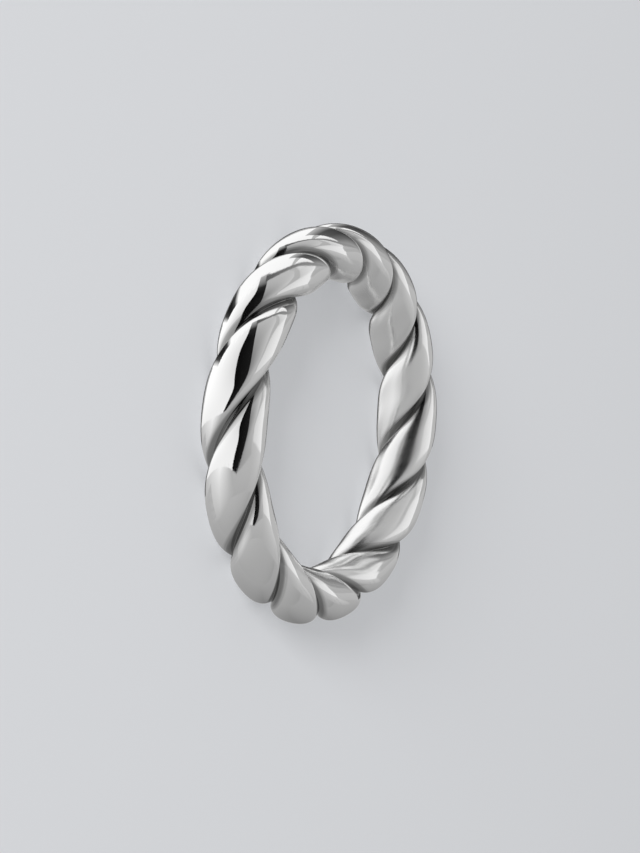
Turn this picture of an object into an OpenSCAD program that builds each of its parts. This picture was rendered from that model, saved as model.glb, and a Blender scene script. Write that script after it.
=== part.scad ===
// Rope twist ring: two half round strands twisted together and closed into a ring.
// The ring lies on its side: its axis is +Z, and the plane that it rests on is z = 0.
// All sizes are in millimetres, all angles in degrees.

/* [Ring] */
// Finger hole, measured between the ridges inside it
finger_hole_d = 17.3; // [14:0.1:22]
// Thickness of the band, from the finger to the outside
band_t = 3.5; // [2.6:0.05:4.4]
// Width of the band along the finger
band_w = 3.9; // [3.2:0.05:5.4]

/* [Twist] */
// Lobes counted once round the outside; the two strands make one full turn for every two
lobes = 13; // [9:1:17]
// Place of the first crest, in lobes
first_crest = 0.575; // [0:0.005:1]
// How far the lobes drift once round the ring, in lobes: the twist is tighter at one side
drift_once = 0.22; // [0:0.01:0.3]
// Where the once round drift is at its middle
drift_once_at = 154; // [0:1:359]
// How far the lobes drift twice round the ring, in lobes
drift_twice = 0.13; // [0:0.01:0.15]
// Where the twice round drift is at its middle
drift_twice_at = 356; // [0:1:359]

/* [Strands] */
// How far each strand's middle lies from the middle of the band, as a share of half the band
strand_offset = 0.32; // [0.3:0.01:0.45]
// Half height of each strand across the band, as a share of half the band
strand_half_h = 0.8; // [0.7:0.01:0.9]
// How much deeper the groove is cut along the soldered line, as a share of its radius
groove_cut = 0.15; // [0:0.01:0.25]
// How narrow that deeper cut is
groove_sharpness = 8; // [6:1:12]
// Softness of the soldered line itself
groove_soft = 0.03; // [0.01:0.01:0.1]

/* [Smoothness] */
// Sections of the band in each lobe
sections_per_lobe = 12; // [8:1:12]
// Points round each strand, even
points_per_strand = 16; // [12:2:16]
// How much closer the points stand near the grooves, in degrees
groove_gather = 17; // [0:1:20]

/* [Hidden] */
silver = [0.82, 0.82, 0.83];

// Radius of the circle that the middle of the band runs on
ring_r = (finger_hole_d + band_t) / 2;
strand_half_t = 1 - strand_offset;
sections = lobes * sections_per_lobe;
points = 2 * points_per_strand;
// With an odd number of lobes each strand runs into the other where the ring closes
closing_shift = (lobes % 2) * points_per_strand;

// How many lobes lie between the start and ring angle t
function lobes_until(t) =
    lobes * t / 360 - first_crest
    + drift_once * sin(t - drift_once_at)
    + drift_twice * sin(2 * (t - drift_twice_at));

// Direction of the first strand in the section at ring angle t, from outward towards +Z
function strand_angle(t) = -180 * lobes_until(t);

// Angle of section point i from the strand's crest, closer together near the grooves
function point_angle(i) =
    let (even = 360 * i / points)
    even + groove_gather * sin(2 * even);

// Cosine whose zero is rounded off, which rounds the bottom of the groove
function soft_cos(v) = sqrt((pow(cos(v), 2) + pow(groove_soft, 2)) / (1 + pow(groove_soft, 2)));

// Outline of two overlapping elliptic strands, as a radius at angle v from the crest,
// where half the band is 1
function twin_ellipse_r(v) =
    let (
        c = soft_cos(v) / strand_half_t,
        s = sin(v) / strand_half_h,
        shift = strand_offset / strand_half_t,
        q = c * c + s * s
    )
    (shift * c + sqrt(pow(shift * c, 2) + q * (1 - shift * shift))) / q;

// The same outline with its groove cut deeper
function section_r(v) = twin_ellipse_r(v) * (1 - groove_cut * pow(1 - abs(cos(v)), groove_sharpness));

// Point i of the section at ring angle t
function band_point(t, i) =
    let (
        a = strand_angle(t) + point_angle(i),
        r = section_r(point_angle(i)),
        out = ring_r + band_t / 2 * r * cos(a),
        up = band_w / 2 * (1 + r * sin(a))
    )
    [out * cos(t), out * sin(t), up];

// Number of point i in section n, whose last section runs into the first
function point_number(n, i) =
    n < sections
    ? n * points + i % points
    : (i + closing_shift) % points;

module twist_band() {
    band_points = [
        for (n = [0:sections - 1], i = [0:points - 1]) band_point(360 * n / sections, i)
    ];
    band_faces = [
        for (n = [0:sections - 1], i = [0:points - 1], half = [0:1])
            half == 0
            ? [point_number(n, i), point_number(n, i + 1), point_number(n + 1, i + 1)]
            : [point_number(n, i), point_number(n + 1, i + 1), point_number(n + 1, i)]
    ];
    color(silver) polyhedron(points = band_points, faces = band_faces, convexity = 10);
}

twist_band();
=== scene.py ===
# %% [markdown]
# # A rope twist ring in polished silver
# The ring is two thick strands of silver, twisted together like a rope, closed into
# a circle and soldered along the grooves, then polished until it works as a mirror.
# Nothing on it moves and nothing is set in it, so the whole lesson is about two
# things: the flow of one twisted surface, and what a mirror has to see round it.
#
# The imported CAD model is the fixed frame. It lies on its side at the origin, with
# the axis of the finger hole along +Z, and the dressed band goes exactly where it is.

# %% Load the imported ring
import math

import bpy
import numpy as np
from mathutils import Matrix, Vector


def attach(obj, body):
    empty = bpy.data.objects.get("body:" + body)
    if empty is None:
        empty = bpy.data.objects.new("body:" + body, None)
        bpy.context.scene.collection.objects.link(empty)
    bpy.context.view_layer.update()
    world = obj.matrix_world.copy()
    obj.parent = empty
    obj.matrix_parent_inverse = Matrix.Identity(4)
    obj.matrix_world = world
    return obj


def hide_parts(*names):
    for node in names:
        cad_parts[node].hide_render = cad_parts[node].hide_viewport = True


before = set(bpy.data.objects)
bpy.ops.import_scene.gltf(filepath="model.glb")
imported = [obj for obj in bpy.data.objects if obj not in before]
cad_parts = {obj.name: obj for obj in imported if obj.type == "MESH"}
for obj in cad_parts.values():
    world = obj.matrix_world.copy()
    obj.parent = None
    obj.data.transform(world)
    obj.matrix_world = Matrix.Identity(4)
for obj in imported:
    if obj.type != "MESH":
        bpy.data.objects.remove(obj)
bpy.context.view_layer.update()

MM = 0.001

# %% [markdown]
# ## The sizes of the band
# A goldsmith gives a ring three sizes: the finger hole, the thickness of the band and
# its width along the finger. They are the same values as in the CAD source. Blender
# may not change them, because the model has to stay inside the CAD box.

# %% Name the sizes
FINGER_HOLE = 17.3 * MM
BAND_THICKNESS = 3.5 * MM
BAND_WIDTH = 3.9 * MM
BAND_MIDDLE = (FINGER_HOLE + BAND_THICKNESS) / 2
ring_middle = Vector((0, 0, BAND_WIDTH / 2))
print(f"the middle of the band runs on a circle of {BAND_MIDDLE / MM:.2f} mm radius")

# %% [markdown]
# ## The camera
# The photograph looks at the ring from a little outside its open side, with a long
# lens, so that the circle becomes a narrow upright oval. The camera here keeps that
# angle to the ring. Because the ring lies on its side on the floor, the same angle
# puts the camera about 30 degrees above the floor, with the picture's top towards -X.
#
# The lens follows from the size of the ring in the picture: at 14 band radii away,
# one band radius covers 172 pixels. The small lens shift only centres the ring as
# the photograph does.

# %% Place the camera
PICTURE_HIGH = 853
CAMERA_HEIGHT = math.radians(29.8)
CAMERA_ROLL = math.radians(5.0)
BAND_RADII_AWAY = 14
CAMERA_AWAY = BAND_RADII_AWAY * BAND_MIDDLE
PIXELS_PER_BAND_RADIUS = 172.2
RIGHT_OF_CENTRE, BELOW_CENTRE = 5.57, -2.18
SENSOR = 36.0

away = Vector((0, -math.cos(CAMERA_HEIGHT), math.sin(CAMERA_HEIGHT)))
level_right = (-away).cross(Vector((-1, 0, 0))).normalized()
level_up = level_right.cross(-away)
picture_right = math.cos(CAMERA_ROLL) * level_right + math.sin(CAMERA_ROLL) * level_up
picture_up = math.cos(CAMERA_ROLL) * level_up - math.sin(CAMERA_ROLL) * level_right

camera_data = bpy.data.cameras.new("camera")
camera_data.sensor_width = SENSOR
camera_data.lens = PIXELS_PER_BAND_RADIUS * CAMERA_AWAY / BAND_MIDDLE * SENSOR / PICTURE_HIGH
camera_data.shift_x = -RIGHT_OF_CENTRE / PICTURE_HIGH
camera_data.shift_y = BELOW_CENTRE / PICTURE_HIGH
camera_data.clip_start = 5 * MM
camera = bpy.data.objects.new("camera", camera_data)
facing = Matrix((picture_right, picture_up, away)).transposed().to_4x4()
camera.matrix_world = Matrix.Translation(ring_middle + CAMERA_AWAY * away) @ facing
bpy.context.scene.collection.objects.link(camera)
bpy.context.scene.camera = camera
print(f"camera {CAMERA_AWAY / MM:.0f} mm away with a {camera_data.lens:.0f} mm lens")

# %% [markdown]
# ## How the twist runs round the ring
# Two strands twisted together show one lobe for every half turn. There are 13 lobes
# round this ring. The number is odd, so a strand that goes once round arrives in the
# other strand's place: the real ring is one single strand that runs round twice.
#
# A twist made by hand isn't even. Here the lobes are long at the near side and short
# at the far side, so the twist is written as an even run plus two slow drifts. A
# curve modifier could bend a straight rope into a circle, but it would space the
# lobes evenly, so the angle of the strands is worked out directly.

# %% Angle of the strands at each place round the ring
LOBES = 13
FIRST_CREST = 0.575
DRIFT_ONCE, DRIFT_ONCE_AT = 0.22, math.radians(154)
DRIFT_TWICE, DRIFT_TWICE_AT = 0.13, math.radians(356)


def lobes_until(around):
    """How many lobes lie between the start and an angle round the ring."""
    even = LOBES * around / (2 * math.pi) - FIRST_CREST
    once = DRIFT_ONCE * np.sin(around - DRIFT_ONCE_AT)
    twice = DRIFT_TWICE * np.sin(2 * (around - DRIFT_TWICE_AT))
    return even + once + twice


def strand_angle(around):
    """Direction of the first strand in the section, from outward towards +Z."""
    return -math.pi * lobes_until(around)


once_round = np.linspace(0, 2.2 * math.pi, 2000)
lobe_starts = np.interp(np.arange(LOBES + 1), lobes_until(once_round), once_round)
print("lobe pitch in degrees:", np.degrees(np.diff(lobe_starts)).round(1))

# %% [markdown]
# ## The section of the two strands
# Cut the band across and the section is two fat strands side by side that flow into
# each other. Two overlapping ellipses give that outline as a radius at each angle
# from a strand's crest. Where they meet, a plain union would leave an endlessly
# sharp crease. A real groove is filled a little by solder, so the crease is softened
# there, and cut a little deeper beside it, which is what keeps it dark.

# %% Radius of the section at each angle from the crest
STRAND_OFFSET = 0.32
STRAND_HALF_HEIGHT = 0.8
GROOVE_CUT = 0.15
GROOVE_SHARPNESS = 8
GROOVE_SOFTNESS = 0.02
strand_half_thickness = 1 - STRAND_OFFSET


def section_radius(from_crest):
    """Distance from the middle of the band to its skin, where half the band is 1."""
    soft_cosine = np.sqrt((np.cos(from_crest) ** 2 + GROOVE_SOFTNESS**2) / (1 + GROOVE_SOFTNESS**2))
    across = soft_cosine / strand_half_thickness
    upward = np.sin(from_crest) / STRAND_HALF_HEIGHT
    shift = STRAND_OFFSET / strand_half_thickness
    reach = across**2 + upward**2
    twin = (shift * across + np.sqrt((shift * across) ** 2 + reach * (1 - shift**2))) / reach
    groove = (1 - np.abs(np.cos(from_crest))) ** GROOVE_SHARPNESS
    return twin * (1 - GROOVE_CUT * groove)


print("groove bottom at", round(float(section_radius(np.array(math.pi / 2))), 3), "of half the band")

# %% [markdown]
# ## A surface made by hand
# A twisted ring is hammered round, filed and buffed by hand, so its strands are never
# perfectly even. On a mirror, waves of a hundredth of a millimetre are enough to bend
# the edge of every reflection, and a ring without them looks like a drawing.
# Noise in a bump map would only pretend. Here the waves are in the surface itself: two
# sets of long shallow waves that run slantwise over the strands. They are written in
# whole numbers of waves for the strand's two rounds, so that they close without a seam.

# %% Places of the points and shallow waves over them
SECTIONS_PER_LOBE = 56
SECTIONS = LOBES * SECTIONS_PER_LOBE
POINTS = 132
GROOVE_GATHER = math.radians(17)
UNEVENNESS = 0.006 * MM

around = np.linspace(0, 2 * math.pi, SECTIONS, endpoint=False)[:, None]
even = np.linspace(0, 2 * math.pi, POINTS, endpoint=False)[None, :]
from_crest = even + GROOVE_GATHER * np.sin(2 * even)
which_strand = (np.cos(from_crest) < 0).astype(float)
twice_round = (around + 2 * math.pi * which_strand) / 2
across_strand = (from_crest + math.pi / 2) % math.pi - math.pi / 2


def shallow_waves(waves_in_two_rounds, slant, shift):
    """One set of waves over both strands, which fades out at the grooves."""
    wave = np.sin(waves_in_two_rounds * twice_round + slant * across_strand + shift)
    return wave * np.cos(from_crest) ** 2


long_waves = shallow_waves(waves_in_two_rounds=17, slant=1.3, shift=0.4)
short_waves = shallow_waves(waves_in_two_rounds=31, slant=-2.1, shift=2.0)
uneven = long_waves + short_waves
print(f"the strands are uneven by up to {abs(uneven).max() * UNEVENNESS / MM:.3f} mm")

# %% [markdown]
# ## Sweeping the section into a band
# The section is carried round the ring while it turns, and neighbouring sections are
# joined by quads. Rows of points therefore follow each strand, which makes the
# reflections run cleanly along it. A screw modifier can't vary its pitch and a boolean
# of two tubes would leave torn triangles in the groove, so the points are placed one by
# one. They stand closer together near the grooves, where the skin bends most.

# %% Sweep the twisted band
turned = strand_angle(around) + from_crest
radius = section_radius(from_crest) + uneven * UNEVENNESS / (BAND_THICKNESS / 2)
out = BAND_MIDDLE + BAND_THICKNESS / 2 * radius * np.cos(turned)
up = BAND_WIDTH / 2 * (1 + radius * np.sin(turned))
band_points = np.stack([out * np.cos(around), out * np.sin(around), up], axis=-1)


def next_section(section, point):
    """Number of the point that follows along the strand."""
    # The last section joins the first one half a turn on, where the other strand lies
    if section + 1 < SECTIONS:
        return (section + 1) * POINTS + point % POINTS
    return (point + POINTS // 2) % POINTS


band_faces = []
for section in range(SECTIONS):
    for point in range(POINTS):
        here = section * POINTS + point
        beside = section * POINTS + (point + 1) % POINTS
        band_faces.append((here, beside, next_section(section, point + 1), next_section(section, point)))

# %% Make the band's mesh
band_mesh = bpy.data.meshes.new("twisted_band")
band_mesh.from_pydata(band_points.reshape(-1, 3).tolist(), [], band_faces)
band_mesh.update()
band_mesh.shade_smooth()
twisted_band = bpy.data.objects.new("twisted_band", band_mesh)
bpy.context.scene.collection.objects.link(twisted_band)
print(f"{len(band_mesh.vertices)} points, {2 * len(band_mesh.polygons)} triangles")

# %% [markdown]
# ## What the finish needs to know
# The finish has to follow the strands, so it can't look at a place in space. Four
# things are kept at every point instead: how deep it lies in the groove, how much it
# faces the finger, how far it is from the crest, and how far along its strand. The last
# is stored as a point on a circle, with two values, that closes after two rounds as the
# strand does.

# %% Keep the strand's own places at every point
STRAND_ROUND = 2 * BAND_MIDDLE / MM


def keep_value(name, values):
    """Stores one number for each point of the band, for the finish to read."""
    grid = np.broadcast_to(values, (SECTIONS, POINTS)).astype(np.float32)
    band_mesh.attributes.new(name, "FLOAT", "POINT").data.foreach_set("value", grid.ravel())
    print(f"{name}: {grid.min():.2f} to {grid.max():.2f}")


keep_value("groove", 1 - np.abs(np.cos(from_crest)))
keep_value("towards_finger", -np.cos(turned))
keep_value("from_crest", across_strand * BAND_THICKNESS / MM / 2)
keep_value("along_a", STRAND_ROUND * np.cos(twice_round))
keep_value("along_b", STRAND_ROUND * np.sin(twice_round))

# %% [markdown]
# ## A wrapper for shader maths
# A node tree can be written as formulas. A wire is one output of a node, and adding or
# multiplying wires adds the Math nodes that do it. Every other node is made by one
# method, which takes the node's type, its settings, and what its sockets get.


# %% Wires and the node bench
class Wire:
    """One output socket, written into formulas as if it were a number."""

    def __init__(self, bench, socket):
        self.bench = bench
        self.socket = socket

    def maths(self, operation, first, second):
        return self.bench.node("ShaderNodeMath", {"operation": operation}, {0: first, 1: second})

    def __add__(self, other):
        return self.maths("ADD", self, other)

    def __radd__(self, other):
        return self.maths("ADD", other, self)

    def __sub__(self, other):
        return self.maths("SUBTRACT", self, other)

    def __rsub__(self, other):
        return self.maths("SUBTRACT", other, self)

    def __mul__(self, other):
        return self.maths("MULTIPLY", self, other)

    def __rmul__(self, other):
        return self.maths("MULTIPLY", other, self)


class Bench:
    """A node tree that starts empty, with one method that puts a node on it."""

    def __init__(self, tree):
        self.tree = tree
        self.tree.nodes.clear()

    def node(self, kind, settings, sockets, output=0):
        made = self.tree.nodes.new(kind)
        for name, value in settings.items():
            if name == "stops":
                self.set_stops(made.color_ramp, value)
            else:
                setattr(made, name, value)
        for name, value in sockets.items():
            if isinstance(value, Wire):
                self.tree.links.new(value.socket, made.inputs[name])
            else:
                made.inputs[name].default_value = value
        return Wire(self, made.outputs[output]) if made.outputs else made

    def set_stops(self, ramp, stops):
        while len(ramp.elements) < len(stops):
            ramp.elements.new(1.0)
        for element, (place, shade) in zip(ramp.elements, stops):
            element.position = place
            element.color = (shade, shade, shade, 1)


def new_finish(name):
    """A material with an empty node tree, and the bench to fill it on."""
    material = bpy.data.materials.new(name)
    material.use_nodes = True
    return material, Bench(material.node_tree)


# %% [markdown]
# ## Polished silver
# Silver has no colour of its own beyond a faint warmth: what shows is the studio,
# mirrored. Four things still tell it from a chrome ball. The polish leaves very fine
# lines along each strand, because the strand is drawn to and fro over the buff.
# Handling leaves a haze that comes and goes over the surface. The buff never reaches
# the bottom of the grooves, so they stay matt, with streaks, and their colour is painted
# darker there as shade in the creases. And the side that rubs on the finger, or that a
# buff on a spindle reached in passing, mirrors less sharply than the outside, which
# softens everything that shows through the hole.
#
# The lines and the haze are noise, looked up by the places kept above, so that they
# follow the twist without a seam.

# %% Places along and across the strand
silver, bench = new_finish("polished_silver")


def kept(name):
    return bench.node("ShaderNodeAttribute", {"attribute_name": name}, {}, output="Fac")


def strand_noise(along_scale, across_scale, detail):
    """Noise that is stretched along the strand, with scales in features per millimetre."""
    place = bench.node(
        "ShaderNodeCombineXYZ",
        {},
        {
            "X": kept("along_a") * along_scale,
            "Y": kept("along_b") * along_scale,
            "Z": kept("from_crest") * across_scale,
        },
    )
    return bench.node(
        "ShaderNodeTexNoise", {}, {"Vector": place, "Scale": 1.0, "Detail": detail, "Roughness": 0.6}
    )


def eased(value, low, high):
    """0 below low, 1 above high, and a smooth change between."""
    return bench.node(
        "ShaderNodeMapRange",
        {"interpolation_type": "SMOOTHSTEP"},
        {"Value": value, "From Min": low, "From Max": high},
    )


STREAK_REACH = 0.16
GROOVE_FROM, GROOVE_TO = 0.6, 0.86
polishing_lines = strand_noise(along_scale=0.5, across_scale=22.0, detail=3.0)
handling_haze = strand_noise(along_scale=0.35, across_scale=0.9, detail=2.0)
groove_streaks = strand_noise(along_scale=0.25, across_scale=7.0, detail=2.0)
# The groove mask makes the grooves rougher, and below it also paints shade into them
groove_shade_and_matt = eased(kept("groove") + STREAK_REACH * (groove_streaks - 0.5), GROOVE_FROM, GROOVE_TO)
print("places along and across the strand take", len(silver.node_tree.nodes), "nodes")

# %% Mix the silver finish
BRIGHT_SILVER = (0.965, 0.964, 0.962, 1)
GROOVE_SHADE_SILVER = (0.2, 0.2, 0.197, 1)
MIRROR_ROUGHNESS = 0.03
HAZE_ROUGHNESS = 0.05
WORN_ROUGHNESS = 0.18
GROOVE_ROUGHNESS = 0.07
GROOVE_PAINTED_SHADE = 0.82
HAZE_REACH = 0.3
LINE_DEPTH = 0.004 * MM
LINE_STRENGTH = 0.2

# Painted shade: the grooves' colour is mixed towards a dark silver, as shade in the creases
tone = bench.node(
    "ShaderNodeMix",
    {"data_type": "RGBA"},
    {0: groove_shade_and_matt * GROOVE_PAINTED_SHADE, 6: BRIGHT_SILVER, 7: GROOVE_SHADE_SILVER},
    output=2,
)
worn_inside = eased(kept("towards_finger") + HAZE_REACH * (handling_haze - 0.5), 0.0, 0.8)
roughness = (
    MIRROR_ROUGHNESS
    + HAZE_ROUGHNESS * eased(handling_haze, 0.4, 0.75)
    + GROOVE_ROUGHNESS * groove_shade_and_matt
    + WORN_ROUGHNESS * worn_inside
)
lines = bench.node(
    "ShaderNodeBump",
    {},
    {"Height": polishing_lines, "Strength": LINE_STRENGTH, "Distance": LINE_DEPTH},
)
skin = bench.node(
    "ShaderNodeBsdfPrincipled",
    {},
    {"Base Color": tone, "Metallic": 1.0, "Roughness": roughness, "Normal": lines},
)
bench.node("ShaderNodeOutputMaterial", {}, {"Surface": skin})
band_mesh.materials.append(silver)
print("the whole silver finish has", len(silver.node_tree.nodes), "nodes")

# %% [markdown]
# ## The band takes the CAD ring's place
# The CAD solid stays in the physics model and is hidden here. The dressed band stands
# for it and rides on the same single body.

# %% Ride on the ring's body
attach(twisted_band, "root")
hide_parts("twist_band")

# %% [markdown]
# ## The floor
# The photograph has a seamless pale grey sheet under and behind the ring. One large
# flat sheet is enough. Part of its light is its own, as on a sheet that is lit from
# all round, so that the shadow of the ring stays as faint as in the photograph. The
# sheet's own tone is darker for it, and both together make the tone that is seen.
#
# The ring in the photograph stands up and mirrors the room on its left side. Here that
# side faces the floor, so the floor isn't shown to mirror rays: the ring mirrors the
# studio all round, as it does in the photograph.

# %% Lay the floor
FLOOR_SIZE = 3.0
SEEN_TONE = (0.65, 0.662, 0.684, 1)
PAPER_TONE = (0.5, 0.509, 0.526, 1)
PAPER_GLOW = 0.57
GRAIN_SHARE = 0.03


def flat_sheet(name, corners, material):
    """A stage surface through the given corners."""
    mesh = bpy.data.meshes.new(name)
    mesh.from_pydata([tuple(corner) for corner in corners], [], [tuple(range(len(corners)))])
    mesh.materials.append(material)
    sheet = bpy.data.objects.new(name, mesh)
    bpy.context.scene.collection.objects.link(sheet)
    return sheet


paper, bench = new_finish("pale_paper")
grain = bench.node("ShaderNodeTexNoise", {}, {"Scale": 9.0, "Detail": 2.0})
paper_tone = bench.node(
    "ShaderNodeMix",
    {"data_type": "RGBA", "blend_type": "MULTIPLY"},
    {0: GRAIN_SHARE, 6: PAPER_TONE, 7: grain},
    output=2,
)
paper_skin = bench.node(
    "ShaderNodeBsdfPrincipled",
    {},
    {
        "Base Color": paper_tone,
        "Roughness": 0.9,
        "Specular IOR Level": 0.0,
        "Emission Color": paper_tone,
        "Emission Strength": PAPER_GLOW,
    },
)
bench.node("ShaderNodeOutputMaterial", {}, {"Surface": paper_skin})
half_floor = FLOOR_SIZE / 2
floor_corners = [(x * half_floor, y * half_floor, 0) for x, y in ((-1, -1), (1, -1), (1, 1), (-1, 1))]
floor = flat_sheet("floor", floor_corners, paper)
floor.visible_glossy = False

# %% [markdown]
# ## The studio that the silver mirrors
# A polished ring is a picture of the room round it. Every stripe on a strand tells
# where a lamp or a card stood: the white slopes see a large soft box on the left, the
# black stripes see the dark gap with the camera, and the grey slopes see the table.
#
# It helps to think of a polished ball in the ring's place. Each point of its disc
# mirrors one direction of the room, so a card is written down by two edges in that
# disc, with places from -1 to 1 to the right and up, and by the light along each edge.
# The cards hang on a big sphere round the ring, and where two overlap the nearer one
# is seen. The camera doesn't see them and only the mirror shows them.

# %% Directions as a polished ball mirrors them
CARD_AWAY = 0.6


def mirrored_direction(right, up):
    """The direction in the room that a ball mirrors at this point of its disc."""
    out_of_disc = math.sqrt(max(0.0, 1 - right**2 - up**2))
    sideways = 2 * out_of_disc * (right * picture_right + up * picture_up)
    return sideways + (2 * out_of_disc**2 - 1) * away


def arc(reach, start, end, steps=25):
    """Places in the disc at one distance from its middle, between two angles in degrees."""
    angles = np.radians(np.linspace(start, end, steps))
    return [(reach * math.cos(angle), reach * math.sin(angle)) for angle in angles]


card_finish, bench = new_finish("card_light")
card_glow = bench.node("ShaderNodeAttribute", {"attribute_name": "glow"}, {}, output="Fac")
card_light = bench.node("ShaderNodeEmission", {}, {"Color": (1, 1, 1, 1), "Strength": card_glow})
bench.node("ShaderNodeOutputMaterial", {}, {"Surface": card_light})


# %% A card between two edges
ROWS, COLUMNS = 60, 8
ROUNDING = 40


def along_edge(edge, count):
    """Places spread evenly over the points of an edge; an edge may hold numbers or pairs."""
    edge = np.array(edge, float) if np.ndim(edge) else np.array([edge, edge], float)
    edge = edge.reshape(len(edge), -1)
    at = np.linspace(0, len(edge) - 1, count)
    return np.stack([np.interp(at, np.arange(len(edge)), column) for column in edge.T], axis=1)


def rounded(corners):
    """The same edge with its corners rounded off, because the edges in a real room are soft."""
    places = along_edge(corners, ROWS)
    for _ in range(ROUNDING):
        places[1:-1] = (places[:-2] + 2 * places[1:-1] + places[2:]) / 4
    return places


def hang_card(name, first_edge, second_edge, first_glow, second_glow, nearer=0.0):
    """A curved card from one edge to the other, whose light changes along and between them."""
    first, second = along_edge(first_edge, ROWS), along_edge(second_edge, ROWS)
    first_light, second_light = along_edge(first_glow, ROWS), along_edge(second_glow, ROWS)
    corners, lights, faces = [], [], []
    for row in range(ROWS):
        for column in range(COLUMNS):
            share = column / (COLUMNS - 1)
            right, up = ((1 - share) * first[row] + share * second[row]).tolist()
            corners.append(ring_middle + (CARD_AWAY - nearer) * mirrored_direction(right, up))
            lights.append(float((1 - share) * first_light[row][0] + share * second_light[row][0]))
            if row and column:
                here = row * COLUMNS + column
                faces.append((here - COLUMNS - 1, here - COLUMNS, here, here - 1))
    mesh = bpy.data.meshes.new(name)
    mesh.from_pydata([tuple(corner) for corner in corners], [], faces)
    mesh.attributes.new("glow", "FLOAT", "POINT").data.foreach_set("value", lights)
    mesh.materials.append(card_finish)
    card = bpy.data.objects.new(name, mesh)
    bpy.context.scene.collection.objects.link(card)
    card.visible_camera = False
    card.visible_diffuse = False
    card.visible_shadow = False
    print(f"{name}: light {min(lights):.2f} to {max(lights):.2f}")
    return card


# %% [markdown]
# ## The bright box and the dark gap
# Most of the look comes from one contrast. A very large soft box on the left and over
# the ring fills the white slopes. Beside it is the dark gap where the camera stands,
# narrow at its foot and faint at its top, and it draws the black stripe down each
# strand at the near side. From its top a thin dark seam runs to the right under the
# box overhead, and carries each stripe on as a fine dark line over the strand. To the
# right of the gap the wall goes from dark grey to pale grey, so the stripe has one
# hard edge and one soft edge.

# %% Hang the box, the gap and the wall
gap_left = rounded(
    [(-0.14, -0.22), (-0.03, 0.0), (-0.18, 0.16), (-0.21, 0.3), (-0.13, 0.47), (-0.26, 0.69)]
)
gap_right = rounded(
    [(-0.02, -0.24), (0.18, -0.16), (0.27, 0.0), (0.18, 0.18), (0.11, 0.32), (0.04, 0.46), (-0.1, 0.69)]
)
box_far = [(-0.95, -0.05), (-0.93, 0.08), (-0.9, 0.2), (-0.84, 0.36), (-0.8, 0.44), (-0.7, 0.54)]
wall_far = [(0.46, -0.15), (0.44, 0.02), (0.5, 0.2), (0.5, 0.38), (0.42, 0.5), (0.2, 0.62)]
hang_card(
    "soft_box_left",
    box_far,
    gap_left,
    [0.9, 1.15, 1.15],
    [0.9, 0.7, 0.85],
)
hang_card(
    "soft_box_over",
    arc(0.95, 158, 80),
    arc(0.64, 158, 62),
    1.0,
    [1.1, 0.9],
)
hang_card(
    "dark_gap",
    gap_left,
    gap_right,
    [0.003] * 7 + [0.02, 0.45],
    [0.01] * 7 + [0.02, 0.4],
    nearer=0.05,
)
seam_top = rounded([(-0.14, 0.68), (0.2, 0.64), (0.5, 0.59), (0.87, 0.3)])
seam_foot = rounded([(-0.08, 0.6), (0.2, 0.595), (0.47, 0.54), (0.84, 0.26)])
hang_card(
    "dark_seam_over",
    seam_top,
    seam_foot,
    [0.1, 0.3],
    [0.1, 0.3],
    nearer=0.055,
)
hang_card(
    "grey_wall",
    gap_right,
    wall_far,
    [0.3, 0.2, 0.5],
    [0.4, 0.6, 0.5],
)

# %% [markdown]
# ## Lights on the right and the table
# A second, smaller soft box on the right puts the thin white edges on the strands. The
# table in front is grey and gets darker towards the ring's foot and to the right, which
# shades the lower strands from pale to dark. Its left part catches the light of the big
# box. That is the pale strip on the lower half of the near strands.

# %% Hang the right box and light the table
hang_card(
    "soft_box_right",
    [(0.5, -0.1), (0.47, 0.02), (0.54, 0.16), (0.66, 0.28)],
    [(0.82, -0.14), (0.82, 0.02), (0.78, 0.16), (0.76, 0.28)],
    0.64,
    0.85,
)
hang_card(
    "soft_box_high_right",
    arc(0.82, 66, 18),
    arc(0.68, 62, 18),
    [1.0, 0.85, 0.8],
    [0.8, 0.6, 0.55],
)
hang_card(
    "lit_table_left",
    [(-0.97, -0.05), (-0.75, -0.09), (-0.5, -0.12), (-0.3, -0.15), (-0.15, -0.18)],
    [(-0.85, -0.45), (-0.7, -0.5), (-0.5, -0.5), (-0.3, -0.45), (-0.1, -0.35)],
    [0.5, 0.95, 0.4],
    0.44,
)
hang_card(
    "table_in_front",
    [(-0.9, -0.34), (-0.3, -0.38), (0.3, -0.38), (0.88, -0.34)],
    arc(0.79, 202, 338),
    [0.5, 0.4],
    [0.4, 0.3],
    nearer=-0.02,
)
hang_card(
    "lit_table_right",
    [(0.42, -0.4), (0.45, -0.25), (0.5, -0.1)],
    [(0.82, -0.42), (0.84, -0.28), (0.82, -0.14)],
    [0.42, 0.48],
    [0.44, 0.6],
)

# %% [markdown]
# ## Dark edges
# Slopes that turn almost edge on mirror what is behind the ring, far from every lamp.
# Dark cards there draw the thin dark outline that makes each strand stand out from the
# pale floor, and the dark bands over the top of the ring.

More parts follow.
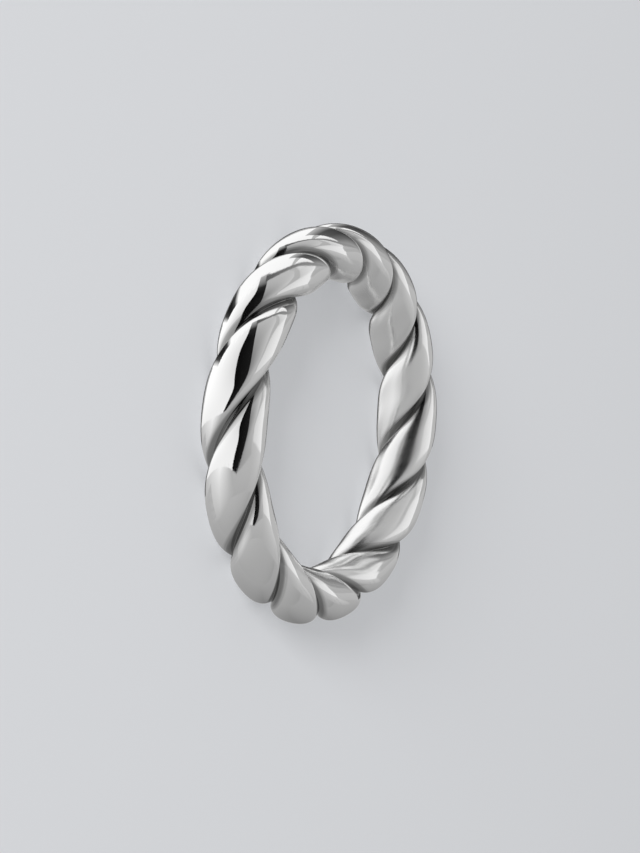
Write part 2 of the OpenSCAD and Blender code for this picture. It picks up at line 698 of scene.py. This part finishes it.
# %% Hang the dark cards behind the ring
hang_card(
    "dark_behind_right",
    arc(0.97, 86, 14),
    arc(0.81, 84, 14),
    [0.5, 0.05, 0.04, 0.1, 0.22, 0.4],
    [0.5, 0.1, 0.1, 0.18, 0.35, 0.5],
    nearer=0.03,
)
hang_card(
    "dark_behind_left",
    arc(0.97, 137, 157),
    arc(0.76, 138, 156),
    [0.9, 0.05, 0.01, 0.01, 0.05, 0.9],
    [0.9, 0.07, 0.02, 0.02, 0.07, 0.9],
    nearer=0.05,
)
hang_card(
    "dark_under",
    arc(0.99, 195, 345),
    arc(0.78, 195, 345),
    [0.44, 0.2, 0.44],
    [0.45, 0.35, 0.4],
)
hang_card("dark_rim", arc(1.0, -15, 190), arc(0.975, -15, 190), 0.03, 0.12, nearer=0.06)
hang_card("dark_rim_left", arc(1.0, 152, 192), arc(0.955, 152, 192), 0.02, 0.2, nearer=0.07)

# %% [markdown]
# ## Room light and the key light
# The room itself is the world: a grey room above the level of the table, and below it
# the table, palest at its far edge and darker where the mirror looks down. The camera
# sees the world in the floor's own tone, so no far edge of the floor shows. A lamp from the
# picture's upper left gives the ring its soft shadow to the lower right. It is hidden
# from the mirror, which already has its cards.

# %% Light the room
TABLE_TILT = math.radians(8)
table_up = (math.cos(TABLE_TILT) * picture_up + math.sin(TABLE_TILT) * away).normalized()
ROOM_STOPS = [(0.0, 0.35), (0.498, 0.5), (0.502, 0.42), (1.0, 0.48)]
room = bpy.data.worlds.new("pale_room")
bpy.context.scene.world = room
room.use_nodes = True
bench = Bench(room.node_tree)
direction = bench.node("ShaderNodeTexCoord", {}, {}, output="Generated")
height = bench.node(
    "ShaderNodeVectorMath", {"operation": "DOT_PRODUCT"}, {0: direction, 1: tuple(table_up)}, output="Value"
)
room_tone = bench.node("ShaderNodeValToRGB", {"stops": ROOM_STOPS}, {"Fac": height * 0.5 + 0.5})
seen_by_camera = bench.node("ShaderNodeLightPath", {}, {}, output="Is Camera Ray")
sky = bench.node(
    "ShaderNodeMix", {"data_type": "RGBA"}, {0: seen_by_camera, 6: room_tone, 7: SEEN_TONE}, output=2
)
light = bench.node("ShaderNodeBackground", {}, {"Color": sky, "Strength": 1.0})
bench.node("ShaderNodeOutputWorld", {}, {"Surface": light})

KEY_POWER = 4.0
KEY_SIZE = 0.2
KEY_AWAY = 0.6
key_data = bpy.data.lights.new("key_lamp", "AREA")
key_data.energy = KEY_POWER
key_data.size = KEY_SIZE
key = bpy.data.objects.new("key_lamp", key_data)
key_direction = (0.3 * picture_up + 0.9 * away - 0.2 * picture_right).normalized()
key.location = ring_middle + KEY_AWAY * key_direction
key.rotation_euler = key_direction.to_track_quat("Z", "Y").to_euler()
key.visible_glossy = False
bpy.context.scene.collection.objects.link(key)
bpy.context.scene.view_settings.view_transform = "Standard"
print("key light comes from", [round(v, 2) for v in key_direction])
